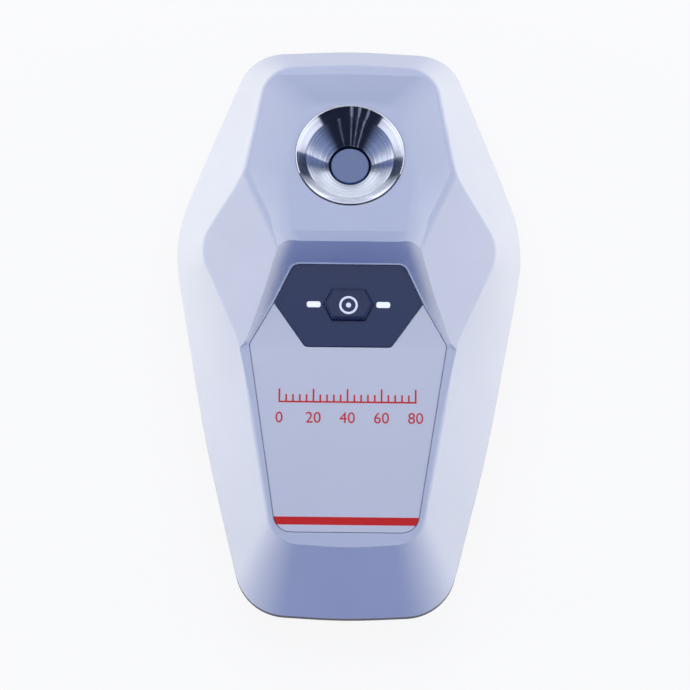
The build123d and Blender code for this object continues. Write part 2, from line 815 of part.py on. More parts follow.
# ==== label field ====
with BuildPart() as key_panel:
    extrude(
        label_face(key_panel_outline, panel_sink, -panel_gap), amount=-panel_thickness, dir=label_plane.z_dir
    )
    with BuildSketch(label_plane):
        with Locations((0, along_label(key_y))):
            add(key_face(key_clearance))
        with Locations(*window_points):
            add(window_face(window_fit))
    extrude(amount=-2 * panel_thickness, mode=Mode.SUBTRACT)

with BuildPart() as label_plate:
    extrude(
        label_face(field_outline(), panel_sink, -panel_gap), amount=-panel_thickness, dir=label_plane.z_dir
    )
    extrude(
        label_face(key_panel_outline, 0, panel_gap / 2), amount=-2 * panel_thickness, dir=label_plane.z_dir,
        mode=Mode.SUBTRACT,
    )
    # the narrow strips left beside the key panel are cut away
    for strip in label_plate.solids().sort_by(SortBy.VOLUME)[:-1]:
        add(strip, mode=Mode.SUBTRACT)

# ==== key and its switch ====
key_plane = plane_at(0, key_y, 0)

with BuildPart() as power_key:
    with BuildSketch(key_plane.offset(-key_bottom)):
        add(key_face())
    extrude(amount=key_bottom + key_proud)
    chamfer(power_key.faces().sort_by(Axis.Z)[-1].edges(), key_bevel)
    with BuildSketch(key_plane.offset(-key_bottom)):
        Rectangle(2 * key_edge_half_width, 2 * (key_half_length + key_flange_margin))
    extrude(amount=-key_flange)
    with BuildSketch(key_plane.offset(-flange_bottom)):
        Circle(plunger_radius)
    extrude(amount=-key_stem_length)

with BuildPart() as switch_plunger:
    with BuildSketch(key_plane.offset(-plunger_top)):
        Circle(plunger_radius)
    extrude(amount=-plunger_length)

with BuildPart() as tact_switch:
    with BuildSketch(key_plane.offset(-board_depth)) as switch_outline:
        Rectangle(switch_side, switch_side)
        chamfer(switch_outline.vertices(), switch_corner_chamfer)
    extrude(amount=switch_height)
    with BuildSketch(key_plane.offset(-switch_top)):
        Circle(plunger_radius + plunger_clearance)
    plunger_well_bottom = plunger_top + plunger_length + key_travel + plunger_clearance
    extrude(amount=switch_top - plunger_well_bottom, mode=Mode.SUBTRACT)


def light_guide(side):
    """Clear guide from a lamp on the board up to its window in the key panel."""
    plane = plane_at(side * window_x, key_y, 0)
    with BuildPart() as guide:
        with BuildSketch(plane.offset(-guide_bottom)):
            add(window_face())
        extrude(amount=guide_bottom - panel_sink)
        with BuildSketch(plane.offset(-wall)):
            Rectangle(window_width, window_height + 2 * guide_flange_margin)
        extrude(amount=-guide_flange_height)
    return guide


left_light_guide = light_guide(-1)
right_light_guide = light_guide(1)

# ==== control board and what it carries ====
with BuildPart() as control_board:
    board_ring, board_radii = mirrored([(x, along_label(y), radius) for x, y, radius in board_half_outline])
    with BuildSketch(label_plane.offset(-board_depth)):
        with BuildLine():
            FilletPolyline(*board_ring, radius=board_radii, close=True)
        make_face()
        with Locations(*both_sides(board_boss_points)):
            Circle(small_screw_radius + screw_clearance, mode=Mode.SUBTRACT)
    extrude(amount=-board_thickness)


def on_board(size, below=False, both=False):
    """A body on the control board's top or under it, or one on each side of the middle."""
    x, y, width, length, height = size
    with BuildPart() as chip:
        with BuildSketch(plane_at(0, y, board_underside if below else board_depth)):
            with Locations((x, 0), (-x, 0)) if both else Locations((x, 0)):
                Rectangle(width, length)
        extrude(amount=-height if below else height)
    return chip


processor = on_board(processor_size)
radio_module = on_board(radio_size)
memory_chip = on_board(memory_size)
indicator_lamps = on_board(indicator_size, both=True)
ribbon_connector = on_board(sensor_connector_size, below=True)
light_connector = on_board(light_connector_size, below=True)

board_screw = pan_screw(
    small_head_radius, small_head_height, small_screw_radius, board_thickness + small_screw_grip
)
board_screws = screws(
    [plane_at(x, y, board_underside) for x, y in both_sides(board_screw_points)], board_screw
)

# ==== sample well ====
dish_profile = [
    (dish_hole_radius, seal_roof), (dish_hole_radius, well_bottom - dish_hole_edge),
    (dish_hole_radius + dish_hole_edge, well_bottom), (dish_band_radius, band_bottom),
    (dish_radius - dish_edge, bowl_floor + dish_proud), (dish_radius, bowl_floor), (dish_radius, gasket_top),
    (dish_neck_radius, gasket_top), (dish_neck_radius, neck_bottom), (dish_spigot_radius, neck_bottom),
    (dish_spigot_radius, spigot_bottom), (seal_bore_radius, spigot_bottom), (seal_bore_radius, seal_roof),
]
well_axis = Axis((0, well_y, 0), (0, 0, 1))

with BuildPart() as sample_dish:
    with BuildSketch(Plane.XZ.offset(-well_y)):
        with BuildLine():
            Polyline(*dish_profile, close=True)
        make_face()
    revolve(axis=well_axis)

with BuildPart() as dish_gasket:
    with BuildSketch(Plane.XY.offset(dish_seat)):
        with Locations((0, well_y)):
            Circle(dish_radius - dish_gasket_margin)
            Circle(dish_neck_radius + dish_fit, mode=Mode.SUBTRACT)
    extrude(amount=dish_gasket_thickness)

with BuildPart() as dish_nut:
    with BuildSketch(Plane.XY.offset(boss_bottom - nut_height)):
        with Locations((0, well_y)):
            Circle(nut_radius)
            Circle(dish_neck_radius + thread_fit, mode=Mode.SUBTRACT)
            with PolarLocations(nut_radius, nut_notches):
                Circle(nut_notch_radius, mode=Mode.SUBTRACT)
    extrude(amount=nut_height)

with BuildPart() as prism_seal:
    seal_radius = (prism_radius + seal_bore_radius) / 2
    with BuildSketch(Plane.XZ.offset(-well_y)):
        with Locations((seal_radius, (seal_roof + prism_shoulder) / 2)):
            Circle((seal_bore_radius - prism_radius) / 2 - seal_clearance)
    revolve(axis=well_axis)


def prism_face(grow=0.0):
    """The prism's section along the housing: a trapezium that narrows downwards."""
    with BuildSketch(Plane.YZ) as face:
        with BuildLine():
            Polyline(
                (well_y - prism_half_length, prism_shoulder), (well_y + prism_half_length, prism_shoulder),
                (well_y + prism_foot_half, prism_bottom), (well_y - prism_foot_half, prism_bottom),
                close=True,
            )
        make_face()
        if grow:
            offset(amount=grow, kind=Kind.INTERSECTION)
    return face.sketch


with BuildPart() as prism:
    extrude(prism_face(), amount=prism_radius, both=True)
    with BuildSketch(Plane.XY.offset(prism_shoulder)):
        with Locations((0, well_y)):
            Circle(prism_radius)
    extrude(amount=prism_top - prism_shoulder)
    chamfer(prism.faces().sort_by(Axis.Z)[-1].edges(), prism_bevel)


# ==== optics block, its lamp side (rear) and its sensor side (front) ====
def channel_plane(side, distance):
    """Plane across a light channel, at a distance from the prism's face. side 1 is the rear."""
    y = well_y + side * (face_centre[0] + distance * math.sin(face_angle))
    z = face_centre[1] - distance * math.cos(face_angle)
    outwards = (0, side * math.sin(face_angle), -math.cos(face_angle))
    return Plane(origin=(0, y, z), x_dir=(1, 0, 0), z_dir=outwards)


def end_corner(sign):
    """Upper (1) or lower (-1) corner of the block's rear end, from the well's axis."""
    half = sign * optics_end_height / 2
    y = face_centre[0] + optics_reach * math.sin(face_angle) + half * math.cos(face_angle)
    z = face_centre[1] - optics_reach * math.cos(face_angle) + half * math.sin(face_angle)
    return (y, z)


with BuildPart() as optics_block:
    upper_corner, lower_corner = end_corner(1), end_corner(-1)
    block_half = [(upper_corner[0] - (optics_top - upper_corner[1]), optics_top), upper_corner, lower_corner]
    with BuildSketch(Plane.YZ):
        with BuildLine():
            Polyline(
                *[(well_y - y, z) for y, z in block_half], *[(well_y + y, z) for y, z in block_half[::-1]],
                close=True,
            )
        make_face()
    extrude(amount=optics_half_width, both=True)
    # ears for the four screws
    with BuildSketch(Plane.XY.offset(optics_ear_bottom)):
        with Locations(*[(0, y) for _, y in optics_screw_points]):
            SlotCenterToCenter(2 * optics_screw_x, 2 * pillar_radius)
    extrude(amount=optics_ear_thickness)
    with BuildSketch(Plane.XY.offset(optics_ear_bottom)):
        with Locations(*both_sides(optics_screw_points)):
            Circle(case_screw_radius + screw_clearance)
    extrude(amount=optics_ear_thickness, mode=Mode.SUBTRACT)
    # pocket for the prism and the two light channels
    extrude(prism_face(optics_gap), amount=prism_radius + optics_gap, both=True, mode=Mode.SUBTRACT)
    for side in (-1, 1):
        with BuildSketch(channel_plane(side, optics_reach)):
            Circle(bore_radius)
        extrude(amount=-optics_reach, mode=Mode.SUBTRACT)
    # well for the temperature probe
    with BuildSketch(Plane.XY.offset(optics_top)):
        with Locations((probe_x, well_y)):
            Circle(probe_radius + optics_gap)
    extrude(amount=-probe_well_depth, mode=Mode.SUBTRACT)
    # threaded holes for the two small boards
    for side in (-1, 1):
        with BuildSketch(channel_plane(side, optics_reach)):
            with Locations((pin_x, 0), (-pin_x, 0)):
                Circle(pin_radius + thread_fit)
        extrude(amount=-(pin_grip + thread_spare), mode=Mode.SUBTRACT)

with BuildPart() as temperature_probe:
    with BuildSketch(Plane.XY.offset(spigot_bottom - contact_paste)):
        with Locations((probe_x, well_y)):
            Circle(probe_radius)
    extrude(amount=-probe_length)
    fillet(temperature_probe.edges().filter_by(GeomType.CIRCLE).sort_by(Axis.Z)[0], probe_tip_fillet)


def channel_board(side):
    """The small board that closes one light channel."""
    with BuildPart() as board:
        with BuildSketch(channel_plane(side, optics_reach)):
            RectangleRounded(optics_board_width, optics_end_height, optics_board_corner)
            with Locations((pin_x, 0), (-pin_x, 0)):
                Circle(pin_radius + screw_clearance, mode=Mode.SUBTRACT)
        extrude(amount=optics_board_thickness)
    return board


light_board = channel_board(1)
sensor_board = channel_board(-1)

with BuildPart() as light_source:
    with BuildSketch(channel_plane(1, optics_reach)):
        Rectangle(source_side, source_side)
    extrude(amount=-source_thickness)
    with BuildSketch(channel_plane(1, optics_reach - source_thickness)):
        Circle(source_dome_radius)
    extrude(amount=-source_dome_height)
    fillet(light_source.edges().filter_by(GeomType.CIRCLE).sort_by(Axis.Y)[0], source_dome_fillet)

with BuildPart() as line_sensor:
    with BuildSketch(channel_plane(-1, optics_reach)):
        Rectangle(sensor_width, sensor_length)
    extrude(amount=-sensor_thickness)
    with BuildSketch(channel_plane(-1, optics_reach - sensor_thickness)):
        Rectangle(sensor_slit_width, sensor_slit_length)
    extrude(amount=sensor_slit_depth, mode=Mode.SUBTRACT)

with BuildPart() as collimator_lens:
    with BuildSketch(channel_plane(1, optics_reach - lens_setback)):
        Circle(bore_radius - lens_fit)
    extrude(amount=-lens_thickness)
    lens_edge = collimator_lens.edges().filter_by(GeomType.CIRCLE).sort_by(Axis.Y)[0]
    fillet(lens_edge, lens_curve_share * lens_thickness)

ear_screw = pan_screw(
    case_head_radius, case_head_height, case_screw_radius, optics_ear_thickness + optics_screw_grip
)
optics_screws = screws([(x, y, optics_ear_bottom) for x, y in both_sides(optics_screw_points)], ear_screw)
board_pin = pan_screw(pin_head_radius, pin_head_height, pin_radius, optics_board_thickness + pin_grip)
channel_board_screws = screws(
    [
        channel_plane(side, optics_reach + optics_board_thickness).location * Location((x, 0, 0), (180, 0, 0))
        for side in (-1, 1)
        for x in (-pin_x, pin_x)
    ],
    board_pin,
)


# ==== flat ribbons from the two small boards up to the control board ====
def ribbon_end(size):
    """The lower face of a connector under the control board, as a point y, z."""
    plane = plane_at(0, size[1], board_underside + size[4])
    return (plane.origin.Y, plane.origin.Z)


def board_back(side, below_centre):
    """A point y, z on a small board's outer face, and the one a short lead away from it."""
    back = channel_plane(side, optics_reach + optics_board_thickness)
    start = back.from_local_coords(Vector(0, side * below_centre, 0))
    lead = start + back.z_dir * ribbon_lead
    return (start.Y, start.Z), (lead.Y, lead.Z)


sensor_start, sensor_lead = board_back(-1, 0)
sensor_end = ribbon_end(sensor_connector_size)

with BuildPart() as sensor_ribbon:
    with BuildSketch(Plane.YZ.offset(sensor_connector_size[0])):
        with BuildLine():
            sensor_route = FilletPolyline(
                sensor_start, sensor_lead, (sensor_end[0], sensor_end[1] - ribbon_lead), sensor_end,
                radius=[ribbon_bend, ribbon_bend],
            )
        trace(sensor_route, line_width=ribbon_thickness)
    extrude(amount=sensor_ribbon_half_width, both=True)

light_start, light_lead = board_back(1, light_ribbon_below_centre)
light_end = ribbon_end(light_connector_size)
light_ribbon_z = lower_corner[1] - light_ribbon_clearance

with BuildPart() as light_ribbon:
    with BuildSketch(Plane.YZ.offset(light_connector_size[0])):
        with BuildLine():
            light_route = FilletPolyline(
                light_start, light_lead, (light_lead[0] - light_ribbon_turn, light_ribbon_z),
                (light_end[0] + light_ribbon_turn, light_ribbon_z),
                (light_end[0], light_end[1] - ribbon_lead), light_end, radius=[ribbon_bend] * 4,
            )
        trace(light_route, line_width=ribbon_thickness)
    extrude(amount=light_ribbon_half_width, both=True)


# ==== battery bay ====
def contact_face(y, x_from, x_to):
    """The rounded outline of a flat contact across the bay, facing the rear at y."""
    with BuildSketch(Plane.XZ.offset(-y)) as face:
        with Locations(((x_from + x_to) / 2, (contact_bottom + contact_top) / 2)):
            RectangleRounded(x_to - x_from, contact_top - contact_bottom, contact_corner)
    return face.sketch


def rear_contact(side):
    """A rear contact with its strip through the cradle's roof up to the control board."""
    x = side * cell_x
    strip_top = under_label(bay_rear_y - contact_thickness, board_underside) - contact_paste
    with BuildPart() as plate:
        extrude(
            contact_face(bay_rear_y, x - contact_half_width, x + contact_half_width), amount=contact_thickness
        )
        with BuildSketch(Plane.XZ.offset(-bay_rear_y)):
            with Locations((x, contact_top - strip_overlap)):
                strip_length = strip_top - contact_top + strip_overlap
                Rectangle(strip_width, strip_length, align=(Align.CENTER, Align.MIN))
        extrude(amount=contact_thickness)
    return plate


left_contact = rear_contact(-1)
right_contact = rear_contact(1)

with BuildPart() as bridge_contact:
    bridge_end = cell_x + contact_half_width
    extrude(contact_face(bay_front_y + contact_thickness, -bridge_end, bridge_end), amount=contact_thickness)

with BuildPart() as battery_cradle:
    extrude(
        bay_face(cradle_half_width, bay_rear_y + cradle_wall, bay_front_y - cradle_wall, floor_top),
        amount=bay_top + cradle_wall - floor_top,
    )
    fillet(battery_cradle.edges().filter_by(Axis.Y).sort_by(Axis.Z)[-2:], cradle_edge_fillet)
    # ears on the floor pads
    with BuildSketch(Plane.XY.offset(cradle_ear_bottom)):
        with Locations((0, cradle_screw_y)):
            SlotCenterToCenter(2 * cradle_screw_points[0][0], cradle_ear)
    extrude(amount=cradle_wall)
    extrude(
        bay_face(bay_half_width, bay_rear_y, bay_front_y, floor_top), amount=bay_top - floor_top,
        mode=Mode.SUBTRACT,
    )
    with BuildSketch(Plane.XY.offset(cradle_ear_bottom)):
        with Locations(*both_sides(cradle_screw_points)):
            Circle(small_screw_radius + screw_clearance)
    extrude(amount=cradle_wall, mode=Mode.SUBTRACT)
    # slots in the roof for the two contact strips
    with BuildSketch(Plane.XY.offset(bay_top)):
        with Locations(*both_sides([(cell_x, bay_rear_y - contact_thickness / 2)])):
            Rectangle(strip_width + 2 * strip_slot_clearance, contact_thickness + 2 * strip_slot_clearance)
    extrude(amount=cradle_wall, mode=Mode.SUBTRACT)

cradle_screw = pan_screw(
    small_head_radius, small_head_height, small_screw_radius, cradle_wall + small_screw_grip
)
cradle_screws = screws(
    [
        Location((x, y, cradle_ear_bottom + cradle_wall), (180, 0, 0))
        for x, y in both_sides(cradle_screw_points)
    ],
    cradle_screw,
)


def cell(side, nub_to_rear):
    """One AAA cell with its nub to the rear or to the front."""
    sign = -1 if nub_to_rear else 1
    nub_end = bay_rear_y - contact_thickness if nub_to_rear else bay_front_y + contact_thickness
    nub_plane = Plane(origin=(side * cell_x, nub_end, cell_z), x_dir=(1, 0, 0), z_dir=(0, sign, 0))
    with BuildPart() as can:
        with BuildSketch(nub_plane):
            Circle(cell_nub_radius)
        extrude(amount=cell_nub_length)
        with BuildSketch(nub_plane.offset(cell_nub_length)):
            Circle(cell_radius)
        extrude(amount=cell_length - cell_nub_length)
        rims = can.edges().filter_by(GeomType.CIRCLE).filter_by(lambda e: e.radius > cell_radius - cell_edge)
        fillet(rims, cell_edge)
    return can


left_cell = cell(-1, True)
right_cell = cell(1, False)


def coil(side, at_rear):
    """The flat-ended spring between a contact and the flat end of a cell."""
    sign = -1 if at_rear else 1
    start = bay_rear_y - contact_thickness if at_rear else bay_front_y + contact_thickness
    free = spring_length - 2 * spring_wire
    centre = (side * cell_x, start + sign * spring_wire, cell_z)
    with BuildPart() as spring:
        with BuildLine() as turns:
            Helix(free / spring_turns, free, spring_radius, center=centre, direction=(0, sign, 0))
        with BuildSketch(Plane(origin=turns.line @ 0, z_dir=turns.line % 0)):
            Circle(spring_wire)
        sweep(is_frenet=True)
    return spring


rear_spring = coil(1, True)
front_spring = coil(-1, False)

# ==== one file for each piece ====
pieces = {
    "upper_housing": upper_housing, "lower_housing": lower_housing, "housing_gasket": housing_gasket,
    "housing_screws": housing_screws, "feet": feet, "label_plate": label_plate, "key_panel": key_panel,
    "power_key": power_key, "switch_plunger": switch_plunger, "tact_switch": tact_switch,
    "left_light_guide": left_light_guide, "right_light_guide": right_light_guide,
    "indicator_lamps": indicator_lamps, "control_board": control_board, "processor": processor,
    "radio_module": radio_module, "memory_chip": memory_chip, "ribbon_connector": ribbon_connector,
    "light_connector": light_connector, "board_screws": board_screws, "sample_dish": sample_dish,
    "dish_gasket": dish_gasket, "dish_nut": dish_nut, "prism": prism, "prism_seal": prism_seal,
    "optics_block": optics_block, "optics_screws": optics_screws, "temperature_probe": temperature_probe,
    "light_board": light_board, "light_source": light_source, "collimator_lens": collimator_lens,
    "sensor_board": sensor_board, "line_sensor": line_sensor, "channel_board_screws": channel_board_screws,
    "sensor_ribbon": sensor_ribbon, "light_ribbon": light_ribbon, "battery_cradle": battery_cradle,
    "cradle_screws": cradle_screws, "left_cell": left_cell, "right_cell": right_cell,
    "left_contact": left_contact, "right_contact": right_contact, "bridge_contact": bridge_contact,
    "rear_spring": rear_spring, "front_spring": front_spring, "battery_door": battery_door,
}
os.makedirs("parts", exist_ok=True)
for name, piece in pieces.items():
    piece.part.label = name
    export_step(piece.part, f"parts/{name}.step")
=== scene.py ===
import bpy
import json
import math
from mathutils import Matrix, Vector


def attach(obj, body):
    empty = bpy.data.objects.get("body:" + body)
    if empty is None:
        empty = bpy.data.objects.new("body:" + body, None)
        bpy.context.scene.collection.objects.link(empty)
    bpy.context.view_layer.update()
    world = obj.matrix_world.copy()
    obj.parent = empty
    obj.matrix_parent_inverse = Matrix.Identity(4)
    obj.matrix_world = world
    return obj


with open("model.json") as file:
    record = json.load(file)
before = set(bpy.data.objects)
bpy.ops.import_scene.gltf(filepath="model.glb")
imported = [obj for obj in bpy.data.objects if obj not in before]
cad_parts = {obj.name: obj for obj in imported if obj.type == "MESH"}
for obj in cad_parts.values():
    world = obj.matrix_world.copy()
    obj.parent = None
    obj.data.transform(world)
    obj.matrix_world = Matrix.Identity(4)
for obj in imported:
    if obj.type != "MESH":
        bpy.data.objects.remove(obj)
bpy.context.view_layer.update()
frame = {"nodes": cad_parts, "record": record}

mm = 0.001
noiseMiddle = (0.3, 0.7)


class Wire:
    # a socket that adds its own Math nodes when it is used in a formula
    def __init__(self, book, socket):
        self.book = book
        self.socket = socket

    def combine(self, operation, first, second=None):
        values = {0: first} if second is None else {0: first, 1: second}
        return self.book.add("ShaderNodeMath", {"operation": operation}, values)[0]

    def __add__(self, other):
        return self.combine("ADD", self, other)

    def __radd__(self, other):
        return self.combine("ADD", other, self)

    def __sub__(self, other):
        return self.combine("SUBTRACT", self, other)

    def __rsub__(self, other):
        return self.combine("SUBTRACT", other, self)

    def __mul__(self, other):
        return self.combine("MULTIPLY", self, other)

    def __rmul__(self, other):
        return self.combine("MULTIPLY", other, self)

    def __truediv__(self, other):
        return self.combine("DIVIDE", self, other)

    def __rtruediv__(self, other):
        return self.combine("DIVIDE", other, self)

    def __lt__(self, other):
        return self.combine("LESS_THAN", self, other)

    def abs(self):
        return self.combine("ABSOLUTE", self)

    def sqrt(self):
        return self.combine("SQRT", self)


class Book:
    # the nodes of one material, or of the world
    def __init__(self, owner, outputKind="ShaderNodeOutputMaterial"):
        self.owner = owner
        owner.use_nodes = True
        self.tree = owner.node_tree
        self.tree.nodes.clear()
        self.output = self.tree.nodes.new(outputKind)

    def put(self, socket, value):
        if isinstance(value, Wire):
            self.tree.links.new(value.socket, socket)
        elif isinstance(value, (tuple, list)) and len(value) == 3 and len(socket.default_value) == 4:
            socket.default_value = (*value, 1.0)
        else:
            socket.default_value = value

    def add(self, kind, settings=None, values=None):
        node = self.tree.nodes.new(kind)
        for key, value in (settings or {}).items():
            setattr(node, key, value)
        for key, value in (values or {}).items():
            self.put(node.inputs[key], value)
        return [Wire(self, socket) for socket in node.outputs]

    def place(self):
        # object coordinates: every piece has its own place in its mesh, so these are the model's metres
        return self.add("ShaderNodeTexCoord")[3]

    def axes(self):
        return self.add("ShaderNodeSeparateXYZ", None, {0: self.place()})

    def noise(self, size, detail=2.0, vector=None, rough=0.5):
        values = {"Vector": vector or self.place(), "Scale": 1.0 / size, "Detail": detail, "Roughness": rough}
        return self.add("ShaderNodeTexNoise", None, values)[0]

    def remap(self, wire, start, end, low, high):
        return self.add("ShaderNodeMapRange", None, {0: wire, 1: start, 2: end, 3: low, 4: high})[0]

    def spread(self, noise, low, high):
        # a noise seldom leaves its middle, so that part is stretched over the whole range
        return self.remap(noise, *noiseMiddle, low, high)

    def step(self, wire, edge, soft):
        # 0 below the edge and 1 above it, over a soft width
        return self.remap(wire, edge - soft, edge + soft, 0.0, 1.0)

    def blend(self, factor, first, second):
        return self.add("ShaderNodeMix", {"data_type": "RGBA"}, {0: factor, 6: first, 7: second})[2]

    def vary(self, noise, first, second):
        # a colour that drifts between two along a noise
        return self.blend(self.spread(noise, 0.0, 1.0), first, second)

    def bump(self, height, distance):
        return self.add("ShaderNodeBump", None, {"Distance": distance, "Height": height})[0]

    def show(self, shader):
        self.tree.links.new(shader.socket, self.output.inputs[0])
        return self.owner

    def finish(self, **sockets):
        values = {key.replace("_", " "): value for key, value in sockets.items()}
        return self.show(self.add("ShaderNodeBsdfPrincipled", None, values)[0])


def scaled(color, share):
    return tuple(min(share * c, 1.0) for c in color)


moulding = {"cloud": 14, "cloudDetail": 3, "fineShare": 0.6, "glossRange": 0.05, "mottle": 0.02, "ior": 1.49}


def mouldedPlastic(name, color, rough=0.42, grain=0.22, relief=0.012):
    # spark-eroded grain of a moulded case, with a slight variation in shade and gloss
    m = moulding
    book = Book(bpy.data.materials.new(name))
    cloud = book.noise(m["cloud"] * mm, m["cloudDetail"])
    fine = book.noise(grain * mm)
    shade = book.vary(cloud, scaled(color, 1 - m["mottle"]), scaled(color, 1 + m["mottle"]))
    uneven = fine * m["fineShare"] + cloud * (1 - m["fineShare"])
    gloss = book.spread(uneven, rough - m["glossRange"], rough + m["glossRange"])
    return book.finish(Base_Color=shade, Roughness=gloss, Normal=book.bump(fine, relief * mm), IOR=m["ior"])


filmLook = {
    "film": (0.95, 0.94, 0.92), "shadeDrop": 0.985, "cloud": 18, "stripe": (0.97, 0.006, 0.004),
    "stripeFront": -44.6, "stripeRear": -43.05, "edge": 0.03, "ink": 0.4, "inkDetail": 3, "inkGloss": 0.05,
    "gloss": (0.30, 0.36), "relief": 0.004, "inkRelief": 0.6, "ior": 1.5,
}


def labelFilm():
    # the screen-printed plate with its stripe along the front end
    look = filmLook
    book = Book(bpy.data.materials.new("label film"))
    y = book.axes()[1]
    front = book.step(y, look["stripeFront"] * mm, look["edge"] * mm)
    rear = book.step(y, look["stripeRear"] * mm, look["edge"] * mm)
    band = front * (1 - rear)
    ink = book.noise(look["ink"] * mm, look["inkDetail"])
    cloud = book.noise(look["cloud"] * mm)
    film = book.vary(cloud, scaled(look["film"], look["shadeDrop"]), look["film"])
    shade = book.blend(band, film, look["stripe"])
    gloss = book.spread(ink, *look["gloss"]) + band * look["inkGloss"]
    height = ink * (1 - look["inkRelief"]) + band * look["inkRelief"]
    relief = book.bump(height, look["relief"] * mm)
    return book.finish(Base_Color=shade, Roughness=gloss, Normal=relief, IOR=look["ior"])


inkLook = {"speckle": 0.12, "shadeDrop": 0.9, "gloss": (0.38, 0.5), "relief": 0.002}


def printInk(name, color):
    look = inkLook
    book = Book(bpy.data.materials.new(name))
    speckle = book.noise(look["speckle"] * mm)
    shade = book.vary(speckle, scaled(color, look["shadeDrop"]), color)
    relief = book.bump(speckle, look["relief"] * mm)
    return book.finish(Base_Color=shade, Roughness=book.spread(speckle, *look["gloss"]), Normal=relief)


well = {
    "y": 28.2, "bandInner": 8.7, "bandWidth": 2.02, "coneFlatter": 0.13, "bandSteeper": 0.24,
    "frontEnd": -6.5, "frontFade": 2.5, "ring": 0.16, "ringDetail": 3, "groove": 0.45, "grooveShare": 0.7,
    "rough": 0.7, "relief": 0.022, "valleyPaintedShade": (0.41, 0.44, 0.54), "crestPaintedSheen": (0.88, 0.91, 1.0),
    "gloss": (0.17, 0.10), "stretch": 0.9, "quarterTurn": 0.25,
}


def turnedSteel():
    # turning grooves around the well's axis, and a gloss that is stretched across them; the colour follows
    # the grooves, but its light and dark rings are painted reflection: painted shade in the valleys, painted
    # sheen on the crests
    book = Book(bpy.data.materials.new("turned steel"))
    x, y = book.axes()[:2]
    away = y - well["y"] * mm
    radius = (x * x + away * away).sqrt()
    outward = book.add("ShaderNodeCombineXYZ", None, {0: radius})[0]
    rings = book.noise(well["ring"] * mm, well["ringDetail"], outward, well["rough"])
    grooves = book.noise(well["groove"] * mm, 2.0, outward, well["rough"])
    cut = rings * (1 - well["grooveShare"]) + grooves * well["grooveShare"]
    # a height that grows with the radius leans the shading: the cone a little flatter, the band steeper
    past = radius - well["bandInner"] * mm
    band = book.add("ShaderNodeClamp", None, {0: past, 1: 0.0, 2: well["bandWidth"] * mm})[0]
    cone = book.add("ShaderNodeMath", {"operation": "MINIMUM"}, {0: past, 1: 0.0})[0]
    band = band * book.step(away, well["frontEnd"] * mm, well["frontFade"] * mm)
    lean = band * well["bandSteeper"] - cone * well["coneFlatter"]
    relief = book.bump(lean + cut * well["relief"] * mm, 1.0)
    # the base colour paints shade into the groove valleys and a sheen onto the crests
    return book.finish(
        Base_Color=book.vary(cut, well["valleyPaintedShade"], well["crestPaintedSheen"]), Metallic=1.0,
        Roughness=book.spread(cut, *well["gloss"]), Normal=relief,
        Anisotropic=well["stretch"], Anisotropic_Rotation=well["quarterTurn"]
    )


glassLook = {
    "cloud": 5, "dark": (0.018, 0.095, 0.33), "light": (0.032, 0.115, 0.37), "gloss": (0.07, 0.12),
    "ior": 1.77,
}


def prismGlass():
    look = glassLook
    book = Book(bpy.data.materials.new("prism glass"))
    cloud = book.noise(look["cloud"] * mm)
    shade = book.vary(cloud, look["dark"], look["light"])
    return book.finish(Base_Color=shade, Roughness=book.spread(cloud, *look["gloss"]), IOR=look["ior"])


rubberLook = {"fine": 0.16, "fineDetail": 3, "cloud": 5, "mottle": 0.1, "glossRange": 0.06, "relief": 0.01}


def softRubber(name, color, rough=0.7):
    look = rubberLook
    book = Book(bpy.data.materials.new(name))
    fine = book.noise(look["fine"] * mm, look["fineDetail"])
    cloud = book.noise(look["cloud"] * mm)
    shade = book.vary(cloud, scaled(color, 1 - look["mottle"]), scaled(color, 1 + look["mottle"]))
    gloss = book.spread(fine, rough - look["glossRange"], rough + look["glossRange"])
    return book.finish(Base_Color=shade, Roughness=gloss, Normal=book.bump(fine, look["relief"] * mm))


platingLook = {
    "fine": 0.3, "fineDetail": 4, "fineRough": 0.7, "cloud": 3, "shadeDrop": 0.92, "smoother": 0.06,
    "rougher": 0.08, "relief": 0.004,
}


def platedMetal(name, color, rough=0.28):
    look = platingLook
    book = Book(bpy.data.materials.new(name))
    fine = book.noise(look["fine"] * mm, look["fineDetail"], None, look["fineRough"])
    cloud = book.noise(look["cloud"] * mm)
    shade = book.vary(cloud, scaled(color, look["shadeDrop"]), color)
    gloss = book.spread(fine, rough - look["smoother"], rough + look["rougher"])
    relief = book.bump(fine, look["relief"] * mm)
    return book.finish(Base_Color=shade, Metallic=1.0, Roughness=gloss, Normal=relief)


boardLook = {
    "track": 1.6, "trackEdge": 0.42, "trackSoft": 0.03, "mask": (0.012, 0.10, 0.045),
    "overTrack": (0.02, 0.17, 0.075), "fine": 0.5, "gloss": (0.25, 0.35), "relief": 0.02,
}


def circuitBoard():
    # solder mask over copper tracks
    look = boardLook
    book = Book(bpy.data.materials.new("circuit board"))
    cells = book.add(
        "ShaderNodeTexVoronoi", {"feature": "F1", "distance": "MANHATTAN"},
        {"Vector": book.place(), "Scale": 1 / (look["track"] * mm)}
    )[0]
    tracks = book.step(cells, look["trackEdge"], look["trackSoft"])
    gloss = book.spread(book.noise(look["fine"] * mm), *look["gloss"])
    shade = book.blend(tracks, look["mask"], look["overTrack"])
    return book.finish(Base_Color=shade, Roughness=gloss, Normal=book.bump(tracks, look["relief"] * mm))


sleeveLook = {
    "split": -34.0, "edge": 0.05, "front": (0.05, 0.16, 0.42), "rear": (0.03, 0.03, 0.035), "metal": 0.4,
    "fine": 0.4, "gloss": (0.25, 0.35), "relief": 0.004,
}


def cellJacket():
    # a printed sleeve in two colours
    look = sleeveLook
    book = Book(bpy.data.materials.new("cell jacket"))
    fine = book.noise(look["fine"] * mm)
    split = book.step(book.axes()[1], look["split"] * mm, look["edge"] * mm)
    shade = book.blend(split, look["front"], look["rear"])
    gloss = book.spread(fine, *look["gloss"])
    relief = book.bump(fine, look["relief"] * mm)
    return book.finish(Base_Color=shade, Metallic=look["metal"], Roughness=gloss, Normal=relief)


litLook = {"dark": (0.90, 0.92, 0.95), "light": (0.96, 0.97, 1.0), "gloss": (0.3, 0.4)}


